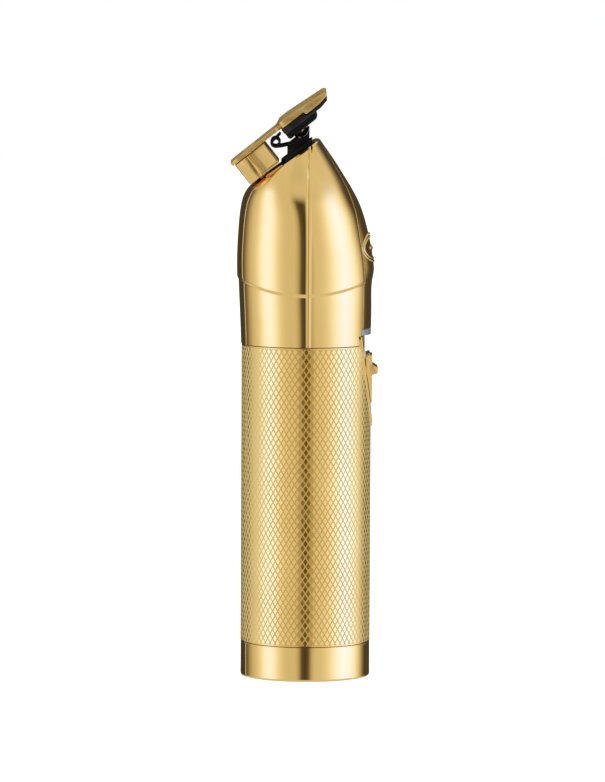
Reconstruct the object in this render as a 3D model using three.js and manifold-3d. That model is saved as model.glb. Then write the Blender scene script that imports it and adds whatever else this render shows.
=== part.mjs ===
// A cordless barber's trimmer with a T-shaped blade, built as an assembly of separate pieces.
// Millimetres, +Z up. The origin is the centre of the base. +X is the thumb side, which carries
// the power slide. The blade runs across, along Y, and the whole is symmetric about Y = 0.

import * as THREE from 'three';
import { mergeVertices } from 'three/addons/utils/BufferGeometryUtils.js';
import Module from 'manifold-3d';

const wasm = await Module();
wasm.setup();

// ---------------------------------------------------------------------------
// Driving dimensions
// ---------------------------------------------------------------------------

const GAP = 0.3; // between pieces that touch on the real object

// End cap and grip
const CAP = { radius: 18.15, base: -1, top: 8.6, fillet: 0.6, wall: 1.4, floor: 0.8 };
const BARREL = { radius: 18.25, bottom: 8.9, top: 92.35, wall: 1.6 };
const COLLAR = { radius: 16.35, wall: 1.3 };

// Upper housing: its outer sections, with the crease step left out
const HOUSING = {
  bottom: BARREL.top + GAP,
  top: 152,
  wall: 1.5,
  seam: 0.5, // X of the joint between the two shells
  // height, rear reach, front reach, half width, X of the widest point, squareness
  sections: [
    [92.65, -18.35, 17.95, 18.2, -0.2, 2],
    [99, -18.6, 18, 18.35, -0.3, 2],
    [108.9, -19.05, 18.1, 18.6, -0.5, 2],
    [116, -19.23, 17.6, 18.6, -0.6, 2],
    [124, -18.9, 16.1, 18.5, -1, 2],
    [130, -18.35, 14.5, 18.3, -1.6, 2.1],
    [133.5, -17.6, 12.9, 17.9, -2, 2.3],
    [137, -16, 11, 17, -2.5, 2.6],
    [142, -13, 8, 15.7, -2.5, 2.8],
    [147, -10, 4.9, 14.4, -2.5, 2.8],
    [152, -8, 1.6, 13, -2.5, 2.8],
  ],
};
const CREASE = { height: 109, dip: 2, step: 0.37, blend: 1 };
const RIM = { tilt: 35.3, peakX: 3.1, peakZ: 150.5 }; // the slanted top opening
const PANEL = { halfWidth: 8.7, peakHalfWidth: 4, bottom: 97.2, bendZ: 125 };

// Power slide, its shield-shaped frame, and the indicator window above it
const SHIELD = {
  top: 95,
  side: [[10.5, 95], [8.5, 86], [6, 79], [3.1, 72.1], [0, 69.4]], // half width, height
  front: 18.6,
  back: 14.2,
  floor: 16.3,
  border: 1.1,
};
const SLIDER = { top: 90.2, front: 18.5, ribFront: 20.1, rib: [84.4, 86.5] };
const WINDOW = { bottom: 95.3, top: 97.1, front: 18.1, halfWidth: 9.2 };
const BADGE = { z: 119.7, halfWidth: 9, halfHeight: 4.2, tilt: 9.4, x: 18.05, depth: 2.2 };

// Blade set, in the blade's own frame: X runs to the tips, Z is the face towards the skin
const BLADE = {
  tilt: 38.5,
  heel: 72.5,
  tips: 105.8,
  stemHalfWidth: 12,
  headHalfWidth: 20,
  headStart: 88.6,
  inner: 124.55,
  stemOuter: 125.65,
  headOuter: 126.3,
  toothRoot: 101.4,
  toothCount: 27,
};
const CUTTER = {
  rear: 89.6, step: 97.4, tips: 104.8, root: 100.6,
  halfWidth: 17, bottom: 122.4, top: 124.3, toothTop: 123.4, toothCount: 19,
};
const FOLLOWER = { rear: 89.5, front: 100, bottom: 120.4, top: 122.2, halfWidth: 7 };
const BRACKET = {
  rear: 73.1, post: 77.8, front: 83.4, bottom: 117.5, top: 124.25, halfWidth: 11.5,
  foot: [76.6, 79], screwX: -8.4, screwY: 5,
};
const BLADE_SCREW = { along: 79.5, y: 6, headRadius: 2.4, radius: 1.25 };
const SPRING = { x: -8.9, z: 149.1, radius: 1.5, wire: 0.7, inner: 4.4, outer: 7.2 };

// Drive
const AXIS_X = -2.5; // motor and arm
const ARM = {
  pivotZ: 127, pinRadius: 1.5, front: 0.6, rear: -5.6, halfWidth: 3.5, forkSlot: 2.3,
  top: [148.6, 153.6], // at the rear and the front
};
const TIP = { x: -2.25, z: 152.9, radius: 2.6 };
const CAM = { radius: 3.2, bottom: 113.6, top: 116, pinRadius: 1.25, pinTop: 121.5, offset: 0.4 };
const MOTOR = { radius: 12, bottom: 86, top: 112, shaftRadius: 1, shaftTop: 115.4 };
const FRAME_PLATE = { bottom: 112.3, top: 114.3, radius: 13.2 };

// Power supply
const CHASSIS = { radius: 14.7, wall: 1.3, bottom: 11, middle: 65.2, top: 82 };
const BATTERY = { x: -2, radius: 9.1, bottom: 13.2, top: 63.2 };
const BOARD = { x: [10.4, 11.6], halfWidth: 10, bottom: 66.5, top: 99 };
const JACK = { x: -7, bore: 2.8, radius: 3.6, bottom: 1.5, top: 10.5 };

// ---------------------------------------------------------------------------
// Shapes
// ---------------------------------------------------------------------------

const rad = THREE.MathUtils.degToRad;
const X = new THREE.Vector3(1, 0, 0);
const Y = new THREE.Vector3(0, 1, 0);
const Z = new THREE.Vector3(0, 0, 1);

// Closed triangles with shared corners, ready to be joined or cut
function toSolid(geometry) {
  const plain = geometry.index ? geometry.toNonIndexed() : geometry.clone();
  plain.deleteAttribute('normal');
  plain.deleteAttribute('uv');
  const merged = mergeVertices(plain, 1e-4);
  const corners = merged.attributes.position.array;
  const faces = [];
  for (let i = 0; i < merged.index.count; i += 3) {
    const [a, b, c] = merged.index.array.slice(i, i + 3);
    if (a !== b && b !== c && c !== a) faces.push(a, b, c);
  }
  if (volumeOf(corners, faces) < 0) faces.reverse();
  return new wasm.Manifold(new wasm.Mesh({
    numProp: 3,
    vertProperties: new Float32Array(corners),
    triVerts: new Uint32Array(faces),
  }));
}

function volumeOf(corners, faces) {
  const at = (i) => new THREE.Vector3().fromArray(corners, i * 3);
  let sum = 0;
  for (let i = 0; i < faces.length; i += 3) {
    sum += at(faces[i]).dot(at(faces[i + 1]).cross(at(faces[i + 2])));
  }
  return sum / 6;
}

function toGeometry(solid) {
  const mesh = solid.getMesh();
  const geometry = new THREE.BufferGeometry();
  geometry.setAttribute('position', new THREE.BufferAttribute(mesh.vertProperties, 3));
  geometry.setIndex(new THREE.BufferAttribute(mesh.triVerts, 1));
  geometry.computeVertexNormals();
  return geometry;
}

function join(first, ...others) {
  return toGeometry(others.reduce((whole, next) => whole.add(toSolid(next)), toSolid(first)));
}

function cut(body, ...tools) {
  return toGeometry(tools.reduce((left, tool) => left.subtract(toSolid(tool)), toSolid(body)));
}

function common(a, b) {
  return toGeometry(toSolid(a).intersect(toSolid(b)));
}

function block([x0, x1], [y0, y1], [z0, z1]) {
  const box = new THREE.BoxGeometry(x1 - x0, y1 - y0, z1 - z0);
  return box.translate((x0 + x1) / 2, (y0 + y1) / 2, (z0 + z1) / 2);
}

// A block that is the same on both sides of Y = 0
function centred(x, halfWidth, z) {
  return block(x, [-halfWidth, halfWidth], z);
}

// A profile of [radius, height] points turned about Z
function turned(profile, sides = 32) {
  const points = profile.map(([r, z]) => new THREE.Vector2(r, z));
  return new THREE.LatheGeometry(points, sides).rotateX(Math.PI / 2);
}

function rod(radius, z0, z1, sides = 32) {
  return turned([[0, z0], [radius, z0], [radius, z1], [0, z1]], sides);
}

function ring(outer, inner, z0, z1, sides = 48) {
  return turned([[inner, z0], [outer, z0], [outer, z1], [inner, z1], [inner, z0]], sides);
}

function alongX(geometry) {
  return geometry.rotateY(Math.PI / 2);
}

function alongY(geometry) {
  return geometry.rotateX(-Math.PI / 2);
}

function outline(points) {
  return new THREE.Shape(points.map(([a, b]) => new THREE.Vector2(a, b)));
}

function extruded(shape, depth) {
  return new THREE.ExtrudeGeometry(shape, { depth, bevelEnabled: false, curveSegments: 8 });
}

// An outline of X and Z, carried across Y
function fromSide(shape, halfWidth) {
  const basis = new THREE.Matrix4().makeBasis(X, Z, Y.clone().negate());
  return extruded(shape, 2 * halfWidth).applyMatrix4(basis).translate(0, halfWidth, 0);
}

// An outline of Y and Z, carried along X
function fromFront(shape, x0, x1) {
  return extruded(shape, x1 - x0).applyMatrix4(new THREE.Matrix4().makeBasis(Y, Z, X)).translate(x0, 0, 0);
}

// An outline of X and Y, carried along Z
function fromTop(shape, z0, z1) {
  return extruded(shape, z1 - z0).translate(0, 0, z0);
}

// A slab between two heights above the slanted rim, in the object's frame
function rimSlab(low, high) {
  return centred([-60, 60], 40, [low, high]).rotateY(-rad(RIM.tilt)).translate(RIM.peakX, 0, RIM.peakZ);
}

// From the blade's frame to the object's, and back
const toObject = (geometry) => geometry.rotateY(-rad(BLADE.tilt));
const toBlade = (geometry) => geometry.rotateY(rad(BLADE.tilt));

// ---------------------------------------------------------------------------
// Materials
// ---------------------------------------------------------------------------

function finish(color, roughness, metalness) {
  return new THREE.MeshStandardMaterial({ color, roughness, metalness });
}

const mirrorGold = finish(0xe3c079, 0.12, 1);
const satinGold = finish(0xc8a860, 0.35, 1);
const bladeGold = finish(0xb79350, 0.3, 1);
const blackPlastic = finish(0x17161a, 0.4, 0);
const greyPlastic = finish(0x6a6b70, 0.5, 0);
const smokedClear = finish(0x9aa0a6, 0.2, 0);
const steel = finish(0x9b9da1, 0.3, 1);
const blackSteel = finish(0x1d1d22, 0.35, 0.8);
const brass = finish(0xd2a84c, 0.3, 1);
const copper = finish(0xa65a35, 0.5, 0.8);
const boardGreen = finish(0x1f5a34, 0.6, 0);
const cellWrap = finish(0x2a4f8f, 0.45, 0);
const redWire = finish(0xa02020, 0.6, 0);

const trimmer = new THREE.Group();
const bladeSet = new THREE.Group();
bladeSet.rotation.y = -rad(BLADE.tilt);
trimmer.add(bladeSet);

function add(name, geometry, material, group = trimmer) {
  const mesh = new THREE.Mesh(geometry, material);
  mesh.name = name;
  group.add(mesh);
  return mesh;
}

// ---------------------------------------------------------------------------
// Base and grip
// ---------------------------------------------------------------------------

function endCap() {
  const fillet = [1, 0.7, 0.4, 0].map((turn) => {
    const angle = turn * Math.PI / 2;
    return [
      CAP.radius - CAP.fillet * (1 - Math.cos(angle)),
      CAP.base + CAP.fillet * (1 - Math.sin(angle)),
    ];
  });
  const inner = CAP.radius - CAP.wall;
  const cup = turned([
    [0, CAP.base], ...fillet, [CAP.radius, CAP.top], [inner, CAP.top], [inner, CAP.floor], [0, CAP.floor],
  ], 48);
  return cut(cup, rod(4.4, CAP.base - 1, 4, 24).translate(JACK.x, 0, 0));
}

function jackBezel() {
  return ring(4.1, 2.95, CAP.base + 0.3, JACK.bottom - GAP, 24).translate(JACK.x, 0, 0);
}

function chargeJack() {
  const shell = turned([
    [JACK.bore, JACK.bottom], [JACK.radius, JACK.bottom], [JACK.radius, JACK.top], [0, JACK.top],
    [0, JACK.top - 1.5], [JACK.bore, JACK.top - 1.5], [JACK.bore, JACK.bottom],
  ], 24);
  return shell.translate(JACK.x, 0, 0);
}

function jackPin() {
  return rod(0.7, JACK.bottom + 1, JACK.top - 1.7, 12).translate(JACK.x, 0, 0);
}

function baseCollar() {
  return ring(COLLAR.radius, COLLAR.radius - COLLAR.wall, 2.1, 16, 40);
}

function gripBarrel() {
  const tube = ring(BARREL.radius, BARREL.radius - BARREL.wall, BARREL.bottom, BARREL.top);
  return cut(tube, fromFront(shieldShape(-GAP, BARREL.top + 1), 5, 25));
}

// Joins the grip to the upper housing from inside, open at the front for the circuit board
function housingCollar() {
  const whole = ring(COLLAR.radius, COLLAR.radius - COLLAR.wall, 84, 100, 40);
  return cut(whole, block([8, 30], [-20, 20], [80, 105]));
}

// ---------------------------------------------------------------------------
// Upper housing
// ---------------------------------------------------------------------------

const sectionAt = new THREE.CubicInterpolant(
  HOUSING.sections.map((row) => row[0]),
  HOUSING.sections.flatMap((row) => row.slice(1)),
  5,
);

// How far the upper part stands out over the lower band, at one height and angle
function creaseStep(z, angle) {
  const start = CREASE.height + CREASE.dip * Math.cos(2 * angle) - CREASE.blend / 2;
  return CREASE.step * THREE.MathUtils.smoothstep(z, start, start + CREASE.blend);
}

function housingPoint(z, angle, inset) {
  const [rear, front, side, middle, power] = sectionAt.evaluate(z);
  const grow = creaseStep(z, angle) - inset;
  const along = Math.cos(angle);
  const across = Math.sin(angle);
  const reach = (along > 0 ? front - middle : middle - rear) + grow;
  return [
    middle + Math.sign(along) * Math.abs(along) ** (2 / power) * reach,
    Math.sign(across) * Math.abs(across) ** (2 / power) * (side + grow),
  ];
}

// A closed solid of the housing's sections, drawn in by inset
function housingSolid(inset, bottom, top) {
  const levels = [bottom];
  for (let z = 98; z < top; z += z > 105 && z < 112 ? 1.4 : 4) levels.push(z);
  levels.push(top);
  const body = turned([[0, bottom], ...levels.map((z) => [1, z]), [0, top]], 36);
  const place = body.attributes.position;
  for (let i = 0; i < place.count; i += 1) {
    const [x, y, z] = [place.getX(i), place.getY(i), place.getZ(i)];
    const height = Math.min(z, HOUSING.top);
    const onAxis = Math.hypot(x, y) < 0.5;
    const [px, py] = onAxis ? [-1, 0] : housingPoint(height, Math.atan2(y, x), inset);
    place.setXYZ(i, px, py, z);
  }
  return body;
}

// The flat-faced spine down the front, which narrows to the peak
function frontPanel() {
  const face = new THREE.Shape();
  face.moveTo(15, PANEL.bottom);
  face.lineTo(18.15, PANEL.bottom);
  face.lineTo(18.3, 110.3);
  face.bezierCurveTo(18.7, 111.6, 18.9, 112.4, 18.88, 113.4);
  face.bezierCurveTo(18.7, 116, 17.9, 120.5, 17.04, 124.3);
  face.bezierCurveTo(16.2, 128, 15.2, 131.2, 13.52, 134.5);
  face.lineTo(2.4, 151.6);
  face.lineTo(0.4, 151.6);
  face.lineTo(8, 138);
  face.lineTo(14.4, 118);
  const across = outline([
    [-PANEL.halfWidth, 90], [PANEL.halfWidth, 90], [PANEL.halfWidth, PANEL.bendZ],
    [PANEL.peakHalfWidth, HOUSING.top], [-PANEL.peakHalfWidth, HOUSING.top],
    [-PANEL.halfWidth, PANEL.bendZ],
  ]);
  return common(fromSide(face, PANEL.halfWidth), fromFront(across, -5, 25));
}

function badgeShape(grow) {
  const shape = new THREE.Shape();
  shape.absellipse(0, 0, BADGE.halfWidth + grow, BADGE.halfHeight + grow, 0, 2 * Math.PI);
  return shape;
}

function badgeSolid(grow, depth) {
  const plate = fromFront(badgeShape(grow), -depth, grow ? 6 : 0);
  return plate.rotateY(-rad(BADGE.tilt)).translate(BADGE.x, 0, BADGE.z);
}

function upperHousing() {
  const outside = housingSolid(0, HOUSING.bottom, HOUSING.top);
  const inside = housingSolid(HOUSING.wall, HOUSING.bottom - 1, HOUSING.top + 1);
  return cut(
    join(outside, frontPanel()),
    inside,
    rimSlab(0, 40),
    badgeSolid(GAP, BADGE.depth + GAP),
    toObject(centred([BRACKET.rear - 2, BRACKET.front + 1], 13, [BRACKET.bottom - GAP, 130])),
    block([5, 25], [-10.9, 10.9], [90, WINDOW.top + GAP]),
  );
}

function shells() {
  const whole = upperHousing();
  const front = common(whole, block([HOUSING.seam + GAP / 2, 40], [-40, 40], [80, 160]));
  const rear = common(whole, block([-40, HOUSING.seam - GAP / 2], [-40, 40], [80, 160]));
  return [front, rear];
}

// Black cover just inside the opening, with a raised lip round the arm
function neckCover() {
  const inside = housingSolid(HOUSING.wall + GAP, HOUSING.bottom, HOUSING.top);
  const plate = common(inside, rimSlab(-3, -1));
  const lip = common(centred([-7.3, 1.4], 6.2, [130, 160]), rimSlab(-3, 0.9));
  const passage = centred([ARM.rear - 0.8, ARM.front + 0.4], 4.9, [130, 160]);
  const foot = toObject(centred([BRACKET.foot[0] - GAP, BRACKET.foot[1] + GAP], 8.3, [100, 130]));
  return cut(join(plate, lip), passage, foot);
}

// ---------------------------------------------------------------------------
// Power slide and window
// ---------------------------------------------------------------------------

// Shield outline in Y and Z, drawn in by inset, flat at the top
function shieldShape(inset, top) {
  const half = SHIELD.side.map(([w, z], i) => {
    const width = w > 0 ? w - inset * (1 - 0.12 * i) : 0;
    return new THREE.Vector2(width, i > 0 ? z + 0.5 * i * inset : top);
  });
  const mirrored = half.slice(0, -1).reverse().map((p) => new THREE.Vector2(-p.x, p.y));
  const shape = new THREE.Shape();
  shape.moveTo(half[0].x, half[0].y);
  shape.splineThru(half.slice(1));
  shape.splineThru(mirrored);
  return shape;
}

function switchBezel() {
  const plate = common(
    fromFront(shieldShape(0, SHIELD.top), SHIELD.back, 20),
    rod(SHIELD.front, 60, 100, 64),
  );
  const recess = fromFront(shieldShape(SHIELD.border, SHIELD.top + 2), SHIELD.floor, 25);
  const slot = centred([10, 20], 1.6, [78.6, 87.6]);
  return cut(plate, recess, slot);
}

function powerSlider() {
  const shield = shieldShape(SHIELD.border + GAP, SHIELD.top);
  const plate = common(
    fromFront(shield, SHIELD.floor + GAP, SLIDER.front),
    centred([10, 30], 20, [60, SLIDER.top]),
  );
  const rib = fromSide(outline([
    [18, SLIDER.rib[0] - 0.6], [19.6, SLIDER.rib[0]], [SLIDER.ribFront, SLIDER.rib[0] + 0.6],
    [SLIDER.ribFront, SLIDER.rib[1] - 0.6], [19.4, SLIDER.rib[1]], [18, SLIDER.rib[1] + 0.8],
  ]), 5.5);
  const cleats = [[79, 79.7], [82.8, 83.5]].map((z) => centred([14.9, 17], 1.2, z));
  return join(plate, rib, ...cleats);
}

function switchActuator() {
  return centred([13.9, 16.2], 1, [80, 82.5]);
}

function slideSwitch() {
  return centred([BOARD.x[1] + 0.2, 13.7], 3.2, [77, 89.5]);
}

function indicatorLens() {
  const bar = centred([14.6, WINDOW.front], WINDOW.halfWidth, [WINDOW.bottom, WINDOW.top]);
  return common(bar, rod(BARREL.radius, 90, 100, 64));
}

// ---------------------------------------------------------------------------
// Blade set, in the blade's frame
// ---------------------------------------------------------------------------

// Tooth edge points from one side to the other, as [X, Y]
function combEdge(root, tips, halfWidth, count) {
  const pitch = 2 * halfWidth / count;
  const points = [];
  for (let i = 0; i < count; i += 1) {
    const y = -halfWidth + i * pitch;
    points.push([tips, y + 0.12 * pitch], [tips, y + 0.58 * pitch]);
    if (i < count - 1) points.push([root, y + 0.7 * pitch], [root, y + pitch]);
  }
  return points;
}

function fixedBlade() {
  const { heel, headStart, stemHalfWidth: stem, headHalfWidth: head } = BLADE;
  const plan = outline([
    [heel + 2, -stem], [headStart, -stem], [headStart + 2.4, -head], [BLADE.toothRoot, -head],
    ...combEdge(BLADE.toothRoot, BLADE.tips, head, BLADE.toothCount),
    [BLADE.toothRoot, head], [headStart + 2.4, head], [headStart, stem],
    [heel + 2, stem], [heel, stem - 2], [heel, 2 - stem],
  ]);
  const side = outline([
    [heel - 1, BLADE.inner], [97.6, BLADE.inner], [97.6, 123.6], [103, 123.6],
    [BLADE.tips + 1, 124.3], [BLADE.tips + 1, 124.6], [92.5, BLADE.headOuter],
    [headStart + 0.8, BLADE.headOuter], [headStart, BLADE.stemOuter], [heel - 1, BLADE.stemOuter],
  ]);
  const plate = common(fromTop(plan, 120, 130), fromSide(side, 30));
  const holes = [-1, 1].map((sign) => rod(1.6, 120, 130, 16).translate(
    BLADE_SCREW.along, sign * BLADE_SCREW.y, 0,
  ));
  const sinks = [-1, 1].map((sign) => turned([
    [0, BLADE.inner], [1.6, BLADE.inner], [2.7, BLADE.stemOuter + 0.01], [0, BLADE.stemOuter + 0.01],
  ], 16).translate(BLADE_SCREW.along, sign * BLADE_SCREW.y, 0));
  return cut(plate, ...holes, ...sinks);
}

function movingBlade() {
  const half = CUTTER.halfWidth;
  const plan = outline([
    [CUTTER.rear, -half + 2], [CUTTER.rear + 3, -half], [CUTTER.root, -half],
    ...combEdge(CUTTER.root, CUTTER.tips, half, CUTTER.toothCount),
    [CUTTER.root, half], [CUTTER.rear + 3, half], [CUTTER.rear, half - 2],
  ]);
  const side = outline([
    [CUTTER.rear, CUTTER.bottom], [102.4, CUTTER.bottom], [CUTTER.tips, 123],
    [CUTTER.tips, CUTTER.toothTop], [CUTTER.step, CUTTER.toothTop],
    [CUTTER.step, CUTTER.top], [CUTTER.rear, CUTTER.top],
  ]);
  const plate = common(fromTop(plan, 120, 126), fromSide(side, 30));
  return cut(plate, centred([90.4, 96.5], 2.9, [120, 126]));
}

function bladeFollower() {
  const side = outline([
    [FOLLOWER.rear, FOLLOWER.bottom], [99.6, FOLLOWER.bottom], [FOLLOWER.front, FOLLOWER.top - 0.4],
    [FOLLOWER.front, FOLLOWER.top], [FOLLOWER.rear, FOLLOWER.top],
  ]);
  const guide = centred([90.4, 96.5], TIP.radius + 0.15, [118, 124]);
  return cut(fromSide(side, FOLLOWER.halfWidth), guide);
}

function bladeBracket() {
  const half = BRACKET.halfWidth;
  const rounded = new THREE.Shape();
  rounded.moveTo(BRACKET.rear, -half + 2.4);
  rounded.quadraticCurveTo(BRACKET.rear, -half, BRACKET.rear + 2.4, -half);
  rounded.quadraticCurveTo(BRACKET.post, -half, BRACKET.post, 1 - half);
  rounded.lineTo(BRACKET.front, 1 - half);
  rounded.lineTo(BRACKET.front, half - 1);
  rounded.lineTo(BRACKET.post, half - 1);
  rounded.quadraticCurveTo(BRACKET.post, half, BRACKET.rear + 2.4, half);
  rounded.quadraticCurveTo(BRACKET.rear, half, BRACKET.rear, half - 2.4);
  const foot = centred(BRACKET.foot, 8, [105, BRACKET.bottom + 1]);
  const screwHoles = [-1, 1].map((sign) => rod(1.4, 118.3, 126, 16).translate(
    BLADE_SCREW.along, sign * BLADE_SCREW.y, 0,
  ));
  const level = toBlade(centred([-40, 20], 30, [100, 132.9]));
  const armRoom = toBlade(centred([-6.9, 20], 30, [100, 141]));
  const footHoles = [-1, 1].map((sign) => toBlade(
    rod(1.1, 130, 136.3, 12).translate(BRACKET.screwX, sign * BRACKET.screwY, 0),
  ));
  return cut(
    join(fromTop(rounded, BRACKET.bottom, BRACKET.top), foot),
    level, armRoom, ...screwHoles, ...footHoles,
  );
}

// Countersunk, with a slot for the driver
function bladeScrew() {
  const body = turned([
    [0, 118.6], [BLADE_SCREW.radius, 118.6], [BLADE_SCREW.radius, BLADE.inner],
    [BLADE_SCREW.headRadius, BLADE.stemOuter - 0.1], [0, BLADE.stemOuter - 0.1],
  ], 16);
  return cut(body, centred([-4, 4], 0.35, [BLADE.stemOuter - 0.7, 130]));
}

// Two coils joined by a bridge behind the cutter. Their tails press up under the follower.
function tensionSpring() {
  const wire = SPRING.wire / 2;
  const coil = (y0, y1) => alongY(ring(SPRING.radius, SPRING.radius - SPRING.wire, y0, y1, 16));
  const bar = (x0, z0, x1, z1, y) => {
    const length = Math.hypot(x1 - x0, z1 - z0);
    return alongX(rod(wire, 0, length, 8)).rotateY(-Math.atan2(z1 - z0, x1 - x0)).translate(x0, y, z0);
  };
  const reach = SPRING.radius - wire;
  const parts = [];
  for (const side of [-1, 1]) {
    const ends = [side * SPRING.inner, side * SPRING.outer].sort((a, b) => a - b);
    const inY = side * (SPRING.inner + wire);
    const outY = side * (SPRING.outer - wire);
    parts.push(coil(...ends), bar(0, -reach, 5.2, 0.9, outY), bar(-reach, 0, 1.2, 2.3, inY));
  }
  const bridge = alongY(rod(wire, -SPRING.inner - 2 * wire, SPRING.inner + 2 * wire, 8));
  const [first, ...others] = [...parts, bridge.translate(1.2, 0, 2.3)];
  return join(first, ...others).translate(SPRING.x, 0, SPRING.z);
}

// ---------------------------------------------------------------------------
// Drive
// ---------------------------------------------------------------------------

function driveArm() {
  const side = new THREE.Shape();
  side.moveTo(ARM.rear, 116.8);
  side.lineTo(ARM.front, 116.8);
  side.lineTo(ARM.front, ARM.top[1]);
  side.lineTo(ARM.rear, ARM.top[0]);
  const front = outline([
    [-4.8, 116.8], [4.8, 116.8], [4.8, 131], [ARM.halfWidth, 137], [ARM.halfWidth, 155],
    [-ARM.halfWidth, 155], [-ARM.halfWidth, 137], [-4.8, 131],
  ]);
  const body = common(fromSide(side, 6), fromFront(front, -10, 5));
  return cut(
    body,
    centred([-10, 5], ARM.forkSlot, [110, 123.5]),
    alongX(rod(ARM.pinRadius + 0.1, -20, 10, 24)).translate(0, 0, ARM.pivotZ),
    new THREE.SphereGeometry(TIP.radius + GAP, 16, 10).rotateX(Math.PI / 2).translate(TIP.x, 0, TIP.z),
    rod(1.4, 145, 152, 16).translate(TIP.x, 0, 0),
  );
}

function driveTip() {
  const ball = new THREE.SphereGeometry(TIP.radius, 16, 10).rotateX(Math.PI / 2);
  return join(ball.translate(TIP.x, 0, TIP.z), rod(1.2, 145.2, TIP.z, 16).translate(TIP.x, 0, 0));
}

function armPivotPin() {
  return alongX(rod(ARM.pinRadius, -12.4, 6.4, 24)).translate(0, 0, ARM.pivotZ);
}

function driveFrame() {
  const plate = rod(FRAME_PLATE.radius, FRAME_PLATE.bottom, FRAME_PLATE.top, 32).translate(AXIS_X, 0, 0);
  const frontEar = centred([4.6, 6.6], 6, [FRAME_PLATE.bottom, 131]);
  const rearEar = centred([-12.6, -10.6], 7.5, [FRAME_PLATE.bottom, 132.6]);
  const shelf = centred([-12.6, -6.9], 7.5, [130.6, 132.6]);
  const pinHole = alongX(rod(ARM.pinRadius + 0.1, -20, 10, 24)).translate(0, 0, ARM.pivotZ);
  const camHole = rod(4.2, 110, 116, 24).translate(AXIS_X, 0, 0);
  const motorHoles = [-8, 8].map((y) => rod(1.1, 110, 116, 12).translate(AXIS_X, y, 0));
  const bracketHoles = [-1, 1].map((sign) => rod(1.1, 129, 134, 12).translate(
    BRACKET.screwX, sign * BRACKET.screwY, 0,
  ));
  return cut(join(plate, frontEar, rearEar, shelf), pinHole, camHole, ...motorHoles, ...bracketHoles);
}

function bracketScrew() {
  return turned([[0, 128.8], [1.8, 128.8], [1.8, 130.4], [0.9, 130.4], [0.9, 136], [0, 136]], 16);
}

function motorScrew() {
  return turned([[0, 110.9], [0.9, 110.9], [0.9, 114.5], [1.7, 114.5], [1.7, 115.9], [0, 115.9]], 16);
}

function motorCan() {
  const inner = MOTOR.radius - 1;
  const cup = turned([
    [inner, MOTOR.bottom], [MOTOR.radius, MOTOR.bottom], [MOTOR.radius, MOTOR.top - 1],
    [MOTOR.radius - 1, MOTOR.top], [2.8, MOTOR.top], [2.8, MOTOR.top - 1.3],
    [inner, MOTOR.top - 1.3], [inner, MOTOR.bottom],
  ], 32);
  const holes = [-8, 8].map((y) => rod(1.1, 108, 114, 12).translate(0, y, 0));
  return cut(cup, ...holes).translate(AXIS_X, 0, 0);
}

function motorEndBell() {
  return turned([
    [1.2, 82.8], [11.8, 82.8], [11.8, 85.7], [10.6, 85.7], [10.6, 88], [1.2, 88], [1.2, 82.8],
  ], 32).translate(AXIS_X, 0, 0);
}

function motorBearing() {
  return ring(2.6, 1.1, 110.9, 113.2, 24).translate(AXIS_X, 0, 0);
}

function rotorShaft() {
  return rod(MOTOR.shaftRadius, 84, MOTOR.shaftTop, 16).translate(AXIS_X, 0, 0);
}

function motorArmature() {
  return ring(8.8, 1.15, 90, 107.5, 24).translate(AXIS_X, 0, 0);
}

function eccentricCam() {
  const disc = rod(CAM.radius, CAM.bottom, CAM.top, 24);
  const pin = rod(CAM.pinRadius, CAM.top - 0.5, CAM.pinTop, 16).translate(CAM.offset, 0, 0);
  return cut(join(disc, pin), rod(1.15, 112, 115.6, 16)).translate(AXIS_X, 0, 0);
}

// ---------------------------------------------------------------------------
// Power supply
// ---------------------------------------------------------------------------

// Half tube that holds the cell and the motor, with a bulkhead at each end of the cell
function chassis() {
  const wall = cut(
    ring(CHASSIS.radius, CHASSIS.radius - CHASSIS.wall, CHASSIS.bottom, CHASSIS.top, 40),
    block([2, 30], [-30, 30], [0, 100]),
  );
  const bulkheads = [CHASSIS.bottom, CHASSIS.middle].map((z) => rod(CHASSIS.radius, z, z + 1.5, 40));
  return cut(join(wall, ...bulkheads), block([9.4, 30], [-30, 30], [0, 100]));
}

function batteryCell() {
  return turned([
    [0, BATTERY.bottom], [BATTERY.radius, BATTERY.bottom], [BATTERY.radius, BATTERY.top - 1.4],
    [BATTERY.radius - 0.6, BATTERY.top - 1.1], [4, BATTERY.top - 1.1], [4, BATTERY.top], [0, BATTERY.top],
  ], 32).translate(BATTERY.x, 0, 0);
}

function batteryTab(z) {
  return centred([BATTERY.x - 3, 8.8], 2, [z, z + 0.3]);
}

function circuitBoard() {
  return centred(BOARD.x, BOARD.halfWidth, [BOARD.bottom, BOARD.top]);
}

function indicatorLed() {
  return centred([BOARD.x[1] + 0.2, 13.6], 1.4, [94.4, 96.9]);
}

function motorLead(side) {
  const route = new THREE.CatmullRomCurve3([
    new THREE.Vector3(5.5, side * 4, 82.4),
    new THREE.Vector3(6.4, side * 4.6, 79.5),
    new THREE.Vector3(8.2, side * 5.6, 76.5),
    new THREE.Vector3(9.5, side * 6, 73.5),
    new THREE.Vector3(9.6, side * 6, 70),
  ]);
  const section = new THREE.Shape();
  section.absarc(0, 0, 0.6, 0, 2 * Math.PI);
  return new THREE.ExtrudeGeometry(section, {
    extrudePath: route, steps: 12, curveSegments: 4, bevelEnabled: false,
  });
}

// ---------------------------------------------------------------------------
// Assembly
// ---------------------------------------------------------------------------

const [frontShell, rearShell] = shells();
add('front_shell', frontShell, mirrorGold);
add('rear_shell', rearShell, mirrorGold);
add('neck_cover', neckCover(), blackPlastic);
add('badge_plate', badgeSolid(0, BADGE.depth), mirrorGold);
add('indicator_lens', indicatorLens(), smokedClear);
add('switch_bezel', switchBezel(), mirrorGold);
add('power_slider', powerSlider(), mirrorGold);
add('switch_actuator', switchActuator(), blackPlastic);
add('slide_switch', slideSwitch(), steel);

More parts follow.
